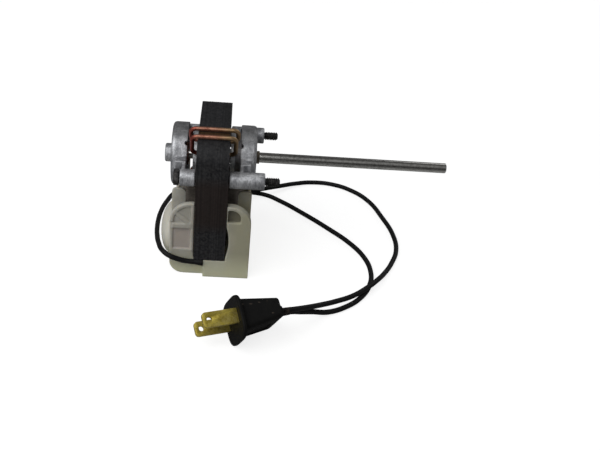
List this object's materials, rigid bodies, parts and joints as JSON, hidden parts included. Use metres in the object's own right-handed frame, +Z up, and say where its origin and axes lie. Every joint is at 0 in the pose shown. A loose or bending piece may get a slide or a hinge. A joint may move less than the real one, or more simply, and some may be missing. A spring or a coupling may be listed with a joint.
{
  "type": "exhaust fan motor",
  "caption": "Small shaded-pole C-frame fan motor on its nylon coil cover, with a long bare shaft, through-bolts and two leads to a moulded plug.",
  "frame": {"origin": "on the underside of the coil cover, on the table, straight under the shaft axis and the middle of the lamination stack", "axes": "+X along the shaft towards its free end, +Z up, +Y across the motor, away from the side whose shading rings are at the top"},
  "size_m": [0.1378, 0.1513, 0.0699],
  "materials": {
    "lamination": "satin",
    "cast_metal": "satin",
    "nylon": "satin",
    "winding": "satin",
    "tape": "matte",
    "copper": "polished",
    "bronze": "matte",
    "felt": "matte",
    "bright_steel": "brushed",
    "black_steel": "satin",
    "rotor_steel": "satin",
    "fibre": "matte",
    "lead_black": "satin",
    "plug_black": "satin",
    "brass": "satin"
  },
  "bodies": {
    "stator": {"stator_stack": "lamination", "core_bar": "lamination", "coil_bobbin": "nylon", "coil_winding": "winding", "coil_tape": "tape", "coil_cover": "nylon", "shading_ring_near_inner": "copper", "shading_ring_near_outer": "copper", "shading_ring_far_inner": "copper", "shading_ring_far_outer": "copper", "rear_bracket": "cast_metal", "front_bracket": "cast_metal", "rear_bushing": "bronze", "front_bushing": "bronze", "rear_felt": "felt", "front_felt": "felt", "rear_retainer": "bright_steel", "front_retainer": "bright_steel", "bolt_near": "black_steel", "bolt_far": "black_steel", "plug_body": "plug_black", "plug_blade_upper": "brass", "plug_blade_lower": "brass", "lead_a": "lead_black", "lead_b": "lead_black"},
    "rotor": {"rotor_core": "rotor_steel", "rotor_cage": "cast_metal", "shaft": "bright_steel", "rear_washer": "fibre", "front_washer": "fibre"}
  },
  "joints": [
    {"name": "rotor_spin", "type": "hinge", "parent": "stator", "child": "rotor", "pos_m": [0, 0, 0.05], "axis": [1, 0, 0], "continuous": true}
  ]
}
